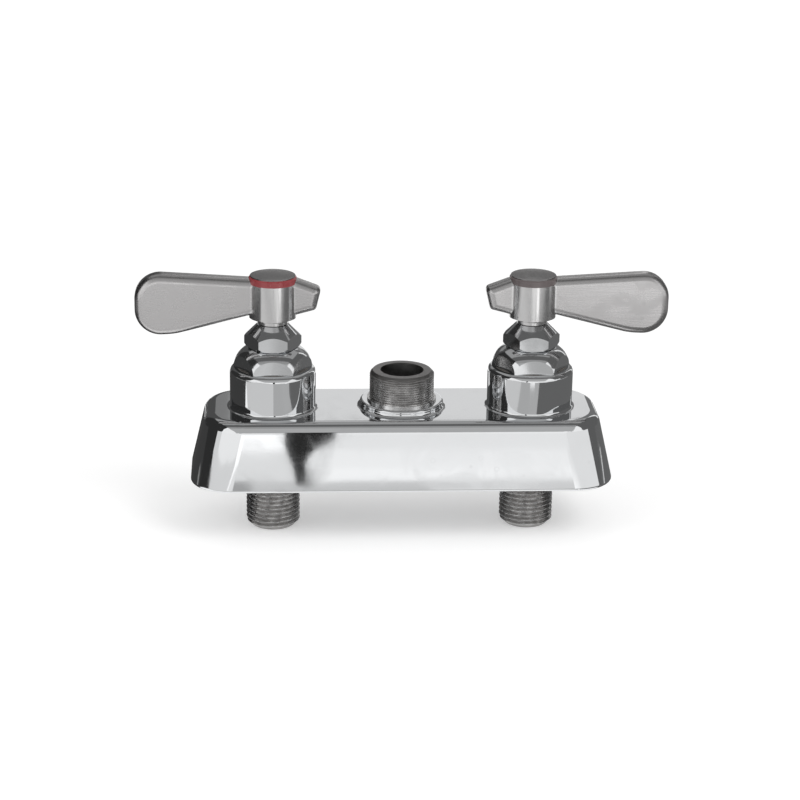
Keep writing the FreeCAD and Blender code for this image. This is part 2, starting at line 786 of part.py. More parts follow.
def handle(name):
    """Forged lever: flat paddle blade and short tail on a turned hub, bored for the drive and the index."""
    body = new_body(name)
    tip = -size.blade_reach
    tip_top = handle_bottom + size.blade_top
    tip_bottom = handle_bottom + size.blade_bottom
    heel = (tip + size.blade_heel, handle_bottom + size.blade_heel_level)
    tail_lower = (size.tail_reach - size.tail_slant, handle_bottom + size.tail_bottom)
    tail_upper = (size.tail_reach, handle_bottom + size.tail_top)
    outline = sketch_on(body, "lever_outline", "XZ_Plane")
    draw_outline(outline, [
        (stem_radius, handle_bottom + size.tail_root_bottom),
        tail_lower,
        tail_upper,
        (stem_radius, handle_bottom + size.tail_root_top),
        (-stem_radius, handle_bottom + size.blade_root_top),
        (tip, tip_top),
        (tip, tip_bottom),
        heel,
        (-stem_radius, handle_bottom + size.blade_root_bottom),
    ])
    lever = body.newObject("PartDesign::Pad", "lever")
    lever.Profile = outline
    lever.SideType = "Symmetric"
    lever.setExpression("Length", size.lever_thickness.formula)
    round_edges(body, "tip_top_round", size.tip_round, crosswise_at(tip, tip_top))
    round_edges(body, "tip_bottom_round", size.tip_round, crosswise_at(tip, tip_bottom))
    round_edges(body, "heel_round", size.heel_round, crosswise_at(*heel))
    round_edges(body, "tail_top_round", size.tail_round, crosswise_at(*tail_upper))
    round_edges(body, "tail_bottom_round", size.tail_round, crosswise_at(*tail_lower))
    half = size.lever_thickness.number / 2
    round_edges(body, "lever_rounds", size.lever_round,
                lambda edge: abs(edge.CenterOfMass.y) > half - 1e-4)
    neck_radius = size.hub_neck_diameter / 2
    turned(body, "hub", [
        (0, handle_bottom),
        (neck_radius, handle_bottom),
        (neck_radius, handle_bottom + size.hub_neck),
        (hub_radius, handle_bottom + size.hub_neck + size.hub_cone),
        (hub_radius, hub_top),
        (0, hub_top),
    ])
    index_recess = hub_radius + size.running_gap
    stem_hole = stem_radius + size.running_gap
    turned(body, "index_socket", [
        (0, socket_floor),
        (size.socket_diameter / 2, socket_floor),
        (size.socket_diameter / 2, hub_top),
        (index_recess, hub_top),
        (index_recess, index_top + size.hub_diameter),
        (0, index_top + size.hub_diameter),
    ], cut=True)
    turned(body, "stem_hole", [
        (0, 0),
        (stem_hole, 0),
        (stem_hole, drive_bottom),
        (0, drive_bottom),
    ], cut=True)
    drive = sketch_on(body, "drive_hole_outline", "XY_Plane", lift=drive_bottom - size.seat_gap)
    draw_polygon(drive, 4, (size.drive_square + size.running_gap * 2) * math.sqrt(2), math.pi / 4)
    square = body.newObject("PartDesign::Pocket", "drive_hole")
    square.Profile = drive
    square.Reversed = True
    square.setExpression("Length", (socket_floor - drive_bottom + OVERCUT).formula)
    return body


def index_ring(name):
    """Coloured ring round the top of the hub."""
    body = new_body(name)
    inner = size.socket_diameter / 2 + size.running_gap
    turned(body, "ring", [
        (inner, hub_top),
        (hub_radius, hub_top),
        (hub_radius, index_top - size.index_chamfer),
        (hub_radius - size.index_chamfer, index_top),
        (inner, index_top),
    ])
    return body


def index_cap(name):
    """Chromed cap pressed into the hub's socket, over the screw."""
    body = new_body(name)
    outer = size.socket_diameter / 2 - size.thread_gap
    crown = index_top + size.cap_dome
    sphere = (outer.number ** 2 + size.cap_dome.number ** 2) / (2 * size.cap_dome.number)
    dome_radius = Length(sphere, f"(({outer.formula} ^ 2 + Sizes.cap_dome ^ 2) / (2 * Sizes.cap_dome))")
    turned(body, "cap", [
        (0, index_top - size.cap_wall),
        (outer - size.cap_wall, index_top - size.cap_wall),
        (outer - size.cap_wall, hub_top - size.cap_skirt),
        (outer, hub_top - size.cap_skirt),
        (outer, index_top, dome_radius),
        (0, crown),
    ])
    return body


# Assembly

pieces = [cast_body(), outlet_spigot()]
seal_outer = size.spigot_tail_diameter / 2
seal_bottom = spigot_bottom + size.seal_ring_level
pieces.append(flat_ring("outlet_seal_ring", seal_outer - size.seal_ring, seal_outer,
                        seal_bottom, seal_bottom + size.seal_ring))
for water, side in (("hot", -1), ("cold", 1)):
    valve = [
        inlet_shank(f"{water}_inlet_shank"),
        valve_ring(f"{water}_valve_ring"),
        valve_washer(f"{water}_valve_washer"),
        washer_holder(f"{water}_washer_holder"),
        screw(f"{water}_washer_screw", size.washer_screw_head / 2, size.washer_screw_head_height,
              size.washer_screw_diameter / 2, size.washer_screw_length, washer_bottom, down=False),
        flat_ring(f"{water}_swivel_ring", (size.stud_diameter - size.snap_ring) / 2,
                  (size.stud_diameter + size.snap_ring) / 2, holder_top + size.snap_level,
                  holder_top + size.snap_level + size.snap_ring, split=size.snap_ring_gap),
        spindle(f"{water}_spindle", side),
        flat_ring(f"{water}_bonnet_gasket", size.bonnet_thread_diameter / 2 + size.thread_gap,
                  size.gasket_diameter / 2, boss_top - size.gasket_thickness, boss_top),
        bonnet(f"{water}_bonnet", side),
        flat_ring(f"{water}_packing", stem_radius + size.running_gap, size.packing_diameter / 2,
                  recess_floor, packing_top),
        flat_ring(f"{water}_packing_follower", stem_radius + size.loose_gap, size.packing_diameter / 2,
                  packing_top, follower_top),
        packing_nut(f"{water}_packing_nut"),
        handle(f"{water}_handle"),
        screw(f"{water}_handle_screw", size.handle_screw_head / 2, size.handle_screw_head_height,
              size.handle_screw_diameter / 2, size.handle_screw_length, socket_floor, down=True),
        index_ring(f"{water}_index_ring"),
        index_cap(f"{water}_index_cap"),
    ]
    pieces += [set_on_axis(piece, side) for piece in valve]
doc.recompute()

# Every object must have built, and every piece must be one sound solid
for item in doc.Objects:
    if "Invalid" in item.State or "Error" in item.State:
        raise RuntimeError(f"{item.Label} did not build: {item.State}")
for piece in pieces:
    if piece.Shape.isNull() or not piece.Shape.isValid() or len(piece.Shape.Solids) != 1:
        raise RuntimeError(f"{piece.Label} is not one sound solid")

os.makedirs("parts", exist_ok=True)
for piece in pieces:
    piece.Shape.exportStep(f"parts/{piece.Label}.step")
    print(f"{piece.Label}: {piece.Shape.Volume:.0f} mm3")
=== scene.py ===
import json
import math

import bpy
import numpy as np
from mathutils import Matrix

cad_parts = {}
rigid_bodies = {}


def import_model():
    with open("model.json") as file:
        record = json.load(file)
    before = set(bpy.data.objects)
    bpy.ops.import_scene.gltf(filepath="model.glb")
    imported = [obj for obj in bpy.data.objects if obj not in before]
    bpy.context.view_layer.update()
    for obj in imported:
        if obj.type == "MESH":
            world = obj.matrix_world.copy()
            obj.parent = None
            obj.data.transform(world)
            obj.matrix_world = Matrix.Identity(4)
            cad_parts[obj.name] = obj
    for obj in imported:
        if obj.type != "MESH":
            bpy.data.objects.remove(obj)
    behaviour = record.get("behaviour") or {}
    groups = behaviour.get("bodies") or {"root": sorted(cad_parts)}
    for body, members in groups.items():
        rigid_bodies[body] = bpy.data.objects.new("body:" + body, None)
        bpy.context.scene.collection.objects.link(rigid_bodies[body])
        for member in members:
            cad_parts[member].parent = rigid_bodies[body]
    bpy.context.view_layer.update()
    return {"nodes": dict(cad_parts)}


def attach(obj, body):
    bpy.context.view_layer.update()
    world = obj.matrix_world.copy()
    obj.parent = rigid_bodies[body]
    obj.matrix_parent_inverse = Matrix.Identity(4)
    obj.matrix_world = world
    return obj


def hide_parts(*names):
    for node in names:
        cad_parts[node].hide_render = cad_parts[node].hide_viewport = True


for leftover in list(bpy.data.objects):
    bpy.data.objects.remove(leftover)
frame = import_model()


# Body casting
# One brass shell, open underneath, with a boss for each valve and one for the outlet.
# It is sand cast, ground and polished by hand, and then plated with nickel and chrome.

def add_node(tree, kind, values=None, links=None, **settings):
    """Adds one shader node. Values and links are keyed by the socket's name or number."""
    node = tree.nodes.new(kind)
    for key, value in settings.items():
        setattr(node, key, value)
    for key, value in (values or {}).items():
        node.inputs[key].default_value = value
    for key, source in (links or {}).items():
        tree.links.new(source, node.inputs[key])
    return node


def math_node(tree, operation, *terms):
    """One Math node; each term is a number or the output it comes from. Returns its output."""
    node = tree.nodes.new("ShaderNodeMath")
    node.operation = operation
    for place, term in enumerate(terms):
        if isinstance(term, (int, float)):
            node.inputs[place].default_value = term
        else:
            tree.links.new(term, node.inputs[place])
    return node.outputs[0]


def spread(tree, value, low, high, to_low=0.0, to_high=1.0):
    """Maps the span low..high of a value to to_low..to_high, held at both ends. Returns the output."""
    node = add_node(tree, "ShaderNodeMapRange", links={"Value": value},
                    values={"From Min": low, "From Max": high, "To Min": to_low, "To Max": to_high})
    return node.outputs["Result"]


def noise(tree, vector, scale, detail=2.0, distortion=0.0, roughness=0.5):
    """Fractal noise of that scale in features per metre. Returns its value."""
    node = add_node(tree, "ShaderNodeTexNoise", links={"Vector": vector},
                    values={"Scale": scale, "Detail": detail, "Roughness": roughness,
                            "Distortion": distortion})
    return node.outputs[0]


def stretched(tree, vector, across, along, up):
    """Object coordinates with each axis multiplied, so that a noise draws lines along the small one."""
    node = add_node(tree, "ShaderNodeVectorMath", operation="MULTIPLY", links={0: vector},
                    values={1: (across, along, up)})
    return node.outputs[0]


def new_group(name, inputs, outputs):
    """A shader node group with float, colour or vector sockets. Returns it with its two end nodes."""
    group = bpy.data.node_groups.new(name, "ShaderNodeTree")
    kinds = {"float": "NodeSocketFloat", "colour": "NodeSocketColor", "vector": "NodeSocketVector"}
    for label, kind, value in inputs:
        socket = group.interface.new_socket(label, in_out="INPUT", socket_type=kinds[kind])
        if value is not None:
            socket.default_value = value
    for label, kind in outputs:
        group.interface.new_socket(label, in_out="OUTPUT", socket_type=kinds[kind])
    return group, group.nodes.new("NodeGroupInput"), group.nodes.new("NodeGroupOutput")


# What polishing and wiping leave on plated metal: soft smears, dried drops and a slight waviness
wave_depth = 0.00003
line_roughness, drop_roughness = 0.022, 0.06
smear_shade, drop_shade = 0.03, 0.05
peel_share = 0.02
polish, entry, leave = new_group(
    "polished_plate",
    [("Vector", "vector", None), ("Colour", "colour", (0.8, 0.8, 0.8, 1.0)), ("Roughness", "float", 0.06),
     ("Smears", "float", 0.08), ("Waves per metre", "float", 60.0)],
    [("Colour", "colour"), ("Roughness", "float"), ("Height", "float")])
place = entry.outputs["Vector"]
cloud = noise(polish, place, 55.0, detail=4.0, distortion=1.4)
smear = spread(polish, cloud, 0.47, 0.72)
hairline = noise(polish, stretched(polish, place, 90.0, 1400.0, 1100.0), 1.0, detail=3.0)
drops = add_node(polish, "ShaderNodeTexVoronoi", links={"Vector": place}, values={"Scale": 170.0})
drop_rim = spread(polish, drops.outputs["Distance"], 0.10, 0.16)
drop_inner = spread(polish, drops.outputs["Distance"], 0.19, 0.13)
rare = spread(polish, noise(polish, place, 38.0, detail=1.0), 0.56, 0.62)
drop_mark = math_node(polish, "MULTIPLY", math_node(polish, "MULTIPLY", drop_rim, drop_inner), rare)
haze = math_node(polish, "MULTIPLY", smear, entry.outputs["Smears"])
lines = math_node(polish, "MULTIPLY", hairline, line_roughness)
marks = math_node(polish, "MULTIPLY", drop_mark, drop_roughness)
roughness_sum = math_node(polish, "ADD", math_node(polish, "ADD", entry.outputs["Roughness"], haze),
                          math_node(polish, "ADD", lines, marks))
dimmed = math_node(polish, "ADD", math_node(polish, "MULTIPLY", smear, smear_shade),
                   math_node(polish, "MULTIPLY", drop_mark, drop_shade))
tone = math_node(polish, "SUBTRACT", 1.0, dimmed)
shade = add_node(polish, "ShaderNodeVectorMath", operation="SCALE",
                 links={0: entry.outputs["Colour"], "Scale": tone})
swell = add_node(polish, "ShaderNodeTexNoise", values={"Detail": 1.0, "Roughness": 0.4},
                 links={"Vector": place, "Scale": entry.outputs["Waves per metre"]})
peel = noise(polish, place, 900.0, detail=1.0)
height = math_node(polish, "ADD", swell.outputs[0], math_node(polish, "MULTIPLY", peel, peel_share))
polish.links.new(shade.outputs[0], leave.inputs["Colour"])
polish.links.new(roughness_sum, leave.inputs["Roughness"])
polish.links.new(height, leave.inputs["Height"])


def new_material(name):
    """An empty node material with its Principled shader, output and Object coordinates."""
    material = bpy.data.materials.new(name)
    material.use_nodes = True
    tree = material.node_tree
    tree.nodes.clear()
    shader = tree.nodes.new("ShaderNodeBsdfPrincipled")
    output = tree.nodes.new("ShaderNodeOutputMaterial")
    tree.links.new(shader.outputs[0], output.inputs["Surface"])
    here = tree.nodes.new("ShaderNodeTexCoord").outputs["Object"]
    return material, tree, shader, here


def finish_node(tree, group, links, values):
    """Places a shared effect in a material."""
    return add_node(tree, "ShaderNodeGroup", values, links, node_tree=group)


def raise_surface(tree, shader, height, distance):
    """Feeds a height from 0 to 1 into the shader's normal as a relief of that depth in metres."""
    bump = add_node(tree, "ShaderNodeBump", links={"Height": height},
                    values={"Distance": distance, "Strength": 1.0})
    tree.links.new(bump.outputs[0], shader.inputs["Normal"])


def plated(name, colour, roughness, smears, waves):
    """Chrome plate over polished brass: the polished_plate effect on a fully metallic shader."""
    material, tree, shader, here = new_material(name)
    shader.inputs["Metallic"].default_value = 1.0
    effect = finish_node(tree, polish, {"Vector": here},
                         {"Colour": (*colour, 1.0), "Roughness": roughness, "Smears": smears,
                          "Waves per metre": waves})
    tree.links.new(effect.outputs["Colour"], shader.inputs["Base Color"])
    tree.links.new(effect.outputs["Roughness"], shader.inputs["Roughness"])
    raise_surface(tree, shader, effect.outputs["Height"], wave_depth)
    return material


def dress(material, *nodes):
    """Gives CAD nodes a material in place of the plain one they came with."""
    for node in nodes:
        for slot in frame["nodes"][node].material_slots:
            slot.material = material


casting_plate = plated("cast_body_plate", (0.80, 0.81, 0.82), 0.035, 0.045, 38.0)
dress(casting_plate, "faucet_body")


# Supply shanks
# Brass tubes with a half inch straight pipe thread outside, screwed up into the casting's barrels.
# The thread is cut on a lathe and plated thinly, so it looks duller than the polished pieces.

inch = 0.0254
valve_across, deck_level, far_above = 0.0508, 0.0, 1.0
valve_sides = (("hot", -valve_across), ("cold", valve_across))
sharp_angle = math.radians(38)


def skin(name, points, faces):
    """A piece of those points and faces, shaded smooth except where faces meet at over sharp_angle."""
    mesh = bpy.data.meshes.new(name)
    mesh.from_pydata(points, [], faces)
    mesh.polygons.foreach_set("use_smooth", np.ones(len(mesh.polygons), bool))
    mesh.update()
    mesh.set_sharp_from_angle(angle=sharp_angle)
    piece = bpy.data.objects.new(name, mesh)
    bpy.context.scene.collection.objects.link(piece)
    return piece


def ring_mesh(name, radius, level, turns, axis_x):
    """Closed ring of skin about the upright axis at axis_x.

    The skin's points are (axis_x + radius cos turn, radius sin turn, level), where radius and level are
    arrays of rows round the cross-section by columns round the axis, and turns holds each column's angle.
    """
    rows, columns = radius.shape
    points = np.stack([axis_x + radius * np.cos(turns), radius * np.sin(turns),
                       np.broadcast_to(level, radius.shape)], axis=-1)
    row, column = np.meshgrid(np.arange(rows), np.arange(columns), indexing="ij")
    next_row, next_column = (row + 1) % rows, (column + 1) % columns
    corner = [a * columns + b for a, b in ((row, column), (row, next_column), (next_row, next_column),
                                           (next_row, column))]
    return skin(name, points.reshape(-1, 3), np.stack(corner, axis=-1).reshape(-1, 4))


def threaded_tube(name, axis_x, section, start, end, pitch, crest, columns=108, rows_per_pitch=12):
    """Tube with a cut thread, right-handed, between the levels start and end on its outer wall.

    section is the cross-section as (radius, level) corners, anticlockwise from the bore's foot. Between
    start and end the outer radius is the lesser of the section's own and crest - depth x groove, where
    groove is a 60 degree triangle wave of level / pitch - turn / full turn with its peaks cut flat, and
    depth fades to nothing over half a pitch at the upper end.
    """
    flat, flank, fading_pitches = 0.125, math.radians(30), 0.5
    within = crest - 2 * pitch
    corners = np.array(section)
    closed = np.vstack([corners, corners[:1]])
    radii, levels = [], []
    for (r0, z0), (r1, z1) in zip(closed[:-1], closed[1:]):
        outer = min(r0, r1) > within and z1 > z0 and z0 < end and z1 > start
        count = max(2, int(abs(z1 - z0) / pitch * rows_per_pitch)) if outer else 2
        steps = np.arange(count) / count
        radii.append(r0 + (r1 - r0) * steps)
        levels.append(z0 + (z1 - z0) * steps)
    radii = np.concatenate(radii)[:, None]
    levels = np.concatenate(levels)[:, None]
    turns = np.arange(columns)[None, :] * (2 * math.pi / columns)
    phase = levels / pitch - turns / (2 * math.pi)
    wave = np.abs(2 * np.mod(phase + 0.5, 1.0) - 1)
    groove = np.clip((wave - flat) / (1 - 2 * flat), 0, 1)
    depth = pitch * math.cos(flank) * (1 - 2 * flat)
    fade = np.clip((end - levels) / (fading_pitches * pitch), 0, 1)
    cut = crest - depth * groove * fade
    threaded = (levels > start) & (levels < end) & (radii > within)
    return ring_mesh(name, np.where(threaded, np.minimum(radii, cut), radii), levels, turns, axis_x)


# Turned metal: rings left by the tool, both across the faces and along the walls, worn smooth in places
lathe, entry, leave = new_group(
    "lathe_marks",
    [("Vector", "vector", None), ("Axis distance", "float", valve_across),
     ("Rings per metre", "float", 4000.0)],
    [("Height", "float"), ("Mask", "float"), ("Radius", "float")])
split = add_node(lathe, "ShaderNodeSeparateXYZ", links={0: entry.outputs["Vector"]})
beside = math_node(lathe, "SUBTRACT", math_node(lathe, "ABSOLUTE", split.outputs[0]),
                   entry.outputs["Axis distance"])
squares = math_node(lathe, "ADD", math_node(lathe, "MULTIPLY", beside, beside),
                    math_node(lathe, "MULTIPLY", split.outputs[1], split.outputs[1]))
radial = math_node(lathe, "SQRT", squares)
spot = add_node(lathe, "ShaderNodeCombineXYZ", links={
    0: math_node(lathe, "MULTIPLY", radial, entry.outputs["Rings per metre"]),
    1: math_node(lathe, "MULTIPLY", split.outputs[2], entry.outputs["Rings per metre"])})
rings = noise(lathe, spot.outputs[0], 1.0, detail=2.0)
worn = spread(lathe, noise(lathe, entry.outputs["Vector"], 130.0, detail=3.0), 0.40, 0.62)
lathe.links.new(rings, leave.inputs["Height"])
lathe.links.new(worn, leave.inputs["Mask"])
lathe.links.new(radial, leave.inputs["Radius"])


def threaded_plate(name, colour, axis_distance, root, crest, end_level=far_above):
    """Dull thin plate on a cut thread: painted shade in the grooves' roots, residue in patches, darker
    towards end_level.
    """
    # The first colour is the dark tone both of residue in patches and of the shade painted into the
    # grooves' roots
    residue_and_shade, dark_span, dark_margin = (0.24, 0.23, 0.225, 1.0), 0.0036, 0.0002
    root_shade_tone, settled_tone, end_tone = 0.45, 0.55, 0.22
    dulling, mark_depth = 0.22, 0.000012
    material, tree, shader, here = new_material(name)
    shader.inputs["Metallic"].default_value = 1.0
    turned = finish_node(tree, lathe, {"Vector": here},
                         {"Axis distance": axis_distance, "Rings per metre": 9000.0})
    effect = finish_node(tree, polish, {"Vector": here},
                         {"Colour": (*colour, 1.0), "Roughness": 0.16, "Smears": 0.12,
                          "Waves per metre": 140.0})
    # Painted shade: the colour darkens from the radius crest in to the radius root, deep in the grooves
    painted_root_shade = spread(tree, turned.outputs["Radius"], root, crest, root_shade_tone, 1.0)
    settled = spread(tree, noise(tree, here, 420.0, detail=4.0), 0.38, 0.66, settled_tone, 1.0)
    height = add_node(tree, "ShaderNodeSeparateXYZ", links={0: here}).outputs[2]
    # The colour darkens to end_tone over dark_span below end_level
    darker_to_end = spread(tree, height, end_level - dark_span, end_level - dark_margin, 1.0, end_tone)
    level = math_node(tree, "MULTIPLY", math_node(tree, "MULTIPLY", painted_root_shade, settled), darker_to_end)
    toned = add_node(tree, "ShaderNodeMix", data_type="RGBA", values={"A": residue_and_shade},
                     links={"Factor": level, "B": effect.outputs["Colour"]})
    tree.links.new(toned.outputs["Result"], shader.inputs["Base Color"])
    dulled = math_node(tree, "ADD", effect.outputs["Roughness"],
                       math_node(tree, "MULTIPLY", math_node(tree, "SUBTRACT", 1.0, level), dulling))
    tree.links.new(dulled, shader.inputs["Roughness"])
    raise_surface(tree, shader, turned.outputs["Height"], mark_depth)
    return material


shank_radius, shank_bore_radius, shank_seat_radius = 0.01065, 0.0065, 0.0098
shank_foot, shank_top, shank_chamfer = -0.0224, 0.0080, 0.0022
shank_pitch, shank_thread_top = inch / 14, -0.0006
# Between these radii the shade painted into the thread's roots fades to the plate's own colour
shank_dark_radius, shank_bright_radius = 0.0093, 0.0105
shank_plate = threaded_plate("shank_thread_plate", (0.60, 0.595, 0.59), valve_across,
                             shank_dark_radius, shank_bright_radius)
for side, across in valve_sides:
    shank = threaded_tube(f"{side}_threaded_shank", across, [
        (shank_bore_radius, shank_foot),
        (shank_radius - shank_chamfer, shank_foot),
        (shank_radius, shank_foot + shank_chamfer),
        (shank_radius, deck_level),
        (shank_seat_radius, deck_level),
        (shank_seat_radius, shank_top),
        (shank_bore_radius, shank_top),
    ], shank_foot, shank_thread_top, shank_pitch, shank_radius)
    shank.data.materials.append(shank_plate)
    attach(shank, "body")
    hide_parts(f"{side}_inlet_shank")


# Valve rings, washer holders and spindles
# Turned brass pieces inside each valve: the renewable ring, the cup that carries the washer, and the
# spindle with its three-start lifting thread. They are cut on a lathe and left bright.

def turned_metal(name, colour, tarnish, roughness, painted_shade_from=far_above):
    """Bare turned metal: tool rings, worn patches, tarnish, and near-black painted shade above the level
    given as the last argument.
    """
    # Near-black colour painted as shade above that level, blended in over the edge distance
    painted_shade_colour, painted_shade_edge = (0.10, 0.095, 0.09, 1.0), 0.0008
    tarnish_share, dulling, mark_depth = 0.55, 0.16, 0.000010
    material, tree, shader, here = new_material(name)
    shader.inputs["Metallic"].default_value = 1.0
    turned = finish_node(tree, lathe, {"Vector": here},
                         {"Axis distance": valve_across, "Rings per metre": 5200.0})
    aged = math_node(tree, "MULTIPLY", turned.outputs["Mask"], tarnish_share)
    toned = add_node(tree, "ShaderNodeMix", data_type="RGBA", links={"Factor": aged},
                     values={"A": (*colour, 1.0), "B": (*tarnish, 1.0)})
    height = add_node(tree, "ShaderNodeSeparateXYZ", links={0: here}).outputs[2]
    # Painted shade: the colour turns near-black above that level
    painted_shade = spread(tree, height, painted_shade_from - painted_shade_edge, painted_shade_from)
    shade_painted = add_node(tree, "ShaderNodeMix", data_type="RGBA", values={"B": painted_shade_colour},
                     links={"Factor": painted_shade, "A": toned.outputs["Result"]})
    tree.links.new(shade_painted.outputs["Result"], shader.inputs["Base Color"])
    dulled = spread(tree, turned.outputs["Height"], 0.3, 0.7, roughness, roughness + dulling)
    tree.links.new(dulled, shader.inputs["Roughness"])
    raise_surface(tree, shader, turned.outputs["Height"], mark_depth)
    return material


def both_valves(*pieces):
    """The nodes of these pieces in the hot and then in the cold valve."""
    return [f"{side}_{piece}" for side, _ in valve_sides for piece in pieces]


brass, old_brass, brass_roughness = (0.80, 0.62, 0.30), (0.50, 0.34, 0.13), 0.20
# The packing nut's top: above it the spindle is painted near-black as shade, in the gap between the nut
# and the lever's hub
under_nut_top = 0.0608
bright_brass = turned_metal("turned_brass", brass, old_brass, brass_roughness)
spindle_brass = turned_metal("turned_spindle_brass", brass, old_brass, brass_roughness, under_nut_top)
dress(bright_brass, *both_valves("valve_ring", "washer_holder"))
dress(spindle_brass, *both_valves("spindle"))


# Washers, washer screws and swivel rings
# A rubber washer under a stainless screw closes on the ring's lip, and a stainless snap ring holds the
# cup's stud in the spindle. The rubber is moulded, and the screw and ring are turned.

def moulded(name, colour, roughness, grain, depth, mottle):
    """Moulded rubber, plastic or pressed fibre: fine grain, and patches of another tone and gloss."""
    patch_share, least_lift, dulling = 0.22, 0.01, 0.14
    material, tree, shader, here = new_material(name)
    patches = noise(tree, here, grain * patch_share, detail=4.0, distortion=0.6)
    lighter = tuple(min(1.0, channel * (1 + mottle) + least_lift) for channel in colour)
    toned = add_node(tree, "ShaderNodeMix", data_type="RGBA",
                     links={"Factor": spread(tree, patches, 0.35, 0.70)},
                     values={"A": (*colour, 1.0), "B": (*lighter, 1.0)})
    tree.links.new(toned.outputs["Result"], shader.inputs["Base Color"])
    dulled = spread(tree, patches, 0.30, 0.75, roughness, roughness + dulling)
    tree.links.new(dulled, shader.inputs["Roughness"])
    raise_surface(tree, shader, noise(tree, here, grain, detail=3.0), depth)
    return material


black_rubber = moulded("moulded_rubber", (0.030, 0.030, 0.031), 0.55, 2600.0, 0.00003, 0.6)
bright_steel = turned_metal("turned_stainless", (0.62, 0.62, 0.61), (0.46, 0.46, 0.45), 0.22)
dress(black_rubber, *both_valves("valve_washer"))
dress(bright_steel, *both_valves("washer_screw", "swivel_ring"))


# Bonnets and bonnet gaskets
# A domed hexagon bonnet screws down into each boss on a fibre gasket. It is turned from bar with the
# nut thread inside, milled to its flats and plated bright.

turned_plate = plated("turned_brass_plate", (0.78, 0.79, 0.80), 0.06, 0.09, 120.0)
grey_fibre = moulded("pressed_fibre", (0.085, 0.078, 0.072), 0.72, 1500.0, 0.00006, 0.8)
dress(turned_plate, *both_valves("bonnet"))
dress(grey_fibre, *both_valves("bonnet_gasket"))


# Packing, followers and packing nuts
# The nut presses a brass follower down on a white fluoropolymer ring, which seals the stem. The ring is
# cut from tube, the follower turned, and the hexagon nut turned, milled and plated.

white_packing = moulded("cut_fluoropolymer", (0.84, 0.84, 0.82), 0.42, 1900.0, 0.00002, 0.05)
dress(white_packing, *both_valves("packing"))
dress(bright_brass, *both_valves("packing_follower"))
dress(turned_plate, *both_valves("packing_nut"))


# Lever handles
# Forged brass levers with a flat paddle blade, a hub and a short tail, ground and plated. The polishing
# belt runs along the blade, so its faces are a little softer than the mirror of the turned pieces.

hub_radius, hub_margin, hub_blend = 0.0093, 0.0001, 0.0007
satin_tone, belt_share = (0.81, 0.80, 0.80, 1.0), 0.02
lever_plate, tree, shader, here = new_material("forged_lever_plate")
shader.inputs["Metallic"].default_value = 1.0
turned = finish_node(tree, lathe, {"Vector": here},
                     {"Axis distance": valve_across, "Rings per metre": 6000.0})
ground = spread(tree, turned.outputs["Radius"], hub_radius + hub_margin, hub_radius + hub_blend)
effect = finish_node(tree, polish, {"Vector": here},
                     {"Colour": (0.74, 0.735, 0.735, 1.0), "Roughness": 0.15, "Smears": 0.08,
                      "Waves per metre": 80.0})
satin = add_node(tree, "ShaderNodeMix", data_type="RGBA", blend_type="MULTIPLY", values={"B": satin_tone},
                 links={"Factor": ground, "A": effect.outputs["Colour"]})
tree.links.new(satin.outputs["Result"], shader.inputs["Base Color"])
belt = noise(tree, stretched(tree, here, 90.0, 4200.0, 5600.0), 1.0, detail=3.0, roughness=0.55)
brushed = math_node(tree, "MULTIPLY", ground, spread(tree, belt, 0.30, 0.72, 0.07, 0.14))
tree.links.new(math_node(tree, "ADD", effect.outputs["Roughness"], brushed), shader.inputs["Roughness"])
grain = math_node(tree, "ADD", effect.outputs["Height"],
                  math_node(tree, "MULTIPLY", ground, math_node(tree, "MULTIPLY", belt, belt_share)))
raise_surface(tree, shader, grain, wave_depth)
dress(lever_plate, *both_valves("handle"))


# Handle screws, index rings and caps
# A stainless screw holds each lever on its spindle. A moulded ring, red for hot and dark for cold, lies
# round the hub's top, and a chromed cap is pressed in over the screw.

def index_plastic(name, colour):
    """Glossy moulded plastic: faint mottling and grain under a thin clear skin."""
    material = moulded(name, colour, 0.24, 1300.0, 0.000006, 0.10)
    shader = next(node for node in material.node_tree.nodes if node.type == "BSDF_PRINCIPLED")
    shader.inputs["Coat Weight"].default_value = 0.35
    shader.inputs["Coat Roughness"].default_value = 0.12
    return material


dress(bright_steel, *both_valves("handle_screw"))
dress(index_plastic("red_index_plastic", (0.27, 0.040, 0.045)), "hot_index_ring")
dress(index_plastic("dark_index_plastic", (0.12, 0.10, 0.10)), "cold_index_ring")


def turned_cap(name, axis_x, profile, columns=96):
    """Skin turned about the upright axis at axis_x, closed at its two ends on the axis.

    profile holds (radius, level) rows between the ends and the ends' own levels stand first and last, as
    (0, level). A point is (axis_x + radius cos turn, radius sin turn, level) for equal steps of turn.
    """
    rows = np.array(profile)
    turns = np.arange(columns) * (2 * math.pi / columns)
    radii, levels = rows[1:-1, :1], rows[1:-1, 1:]
    rings_of_points = np.stack([axis_x + radii * np.cos(turns), radii * np.sin(turns),
                                np.broadcast_to(levels, (len(radii), columns))], axis=-1).reshape(-1, 3)
    ends = np.array([(axis_x, 0.0, rows[0, 1]), (axis_x, 0.0, rows[-1, 1])])
    row, column = np.meshgrid(np.arange(len(radii) - 1), np.arange(columns), indexing="ij")
    beyond = (column + 1) % columns
    walls = np.stack([row * columns + column, row * columns + beyond, (row + 1) * columns + beyond,
                      (row + 1) * columns + column], axis=-1).reshape(-1, 4)
    around = np.arange(columns)
    after = (around + 1) % columns
    foot, head = len(rings_of_points), len(rings_of_points) + 1
    last = (len(radii) - 1) * columns
    foot_fan = np.stack([after, around, np.full(columns, foot)], axis=-1)
    head_fan = np.stack([last + around, last + after, np.full(columns, head)], axis=-1)
    return skin(name, np.vstack([rings_of_points, ends]),
                walls.tolist() + foot_fan.tolist() + head_fan.tolist())


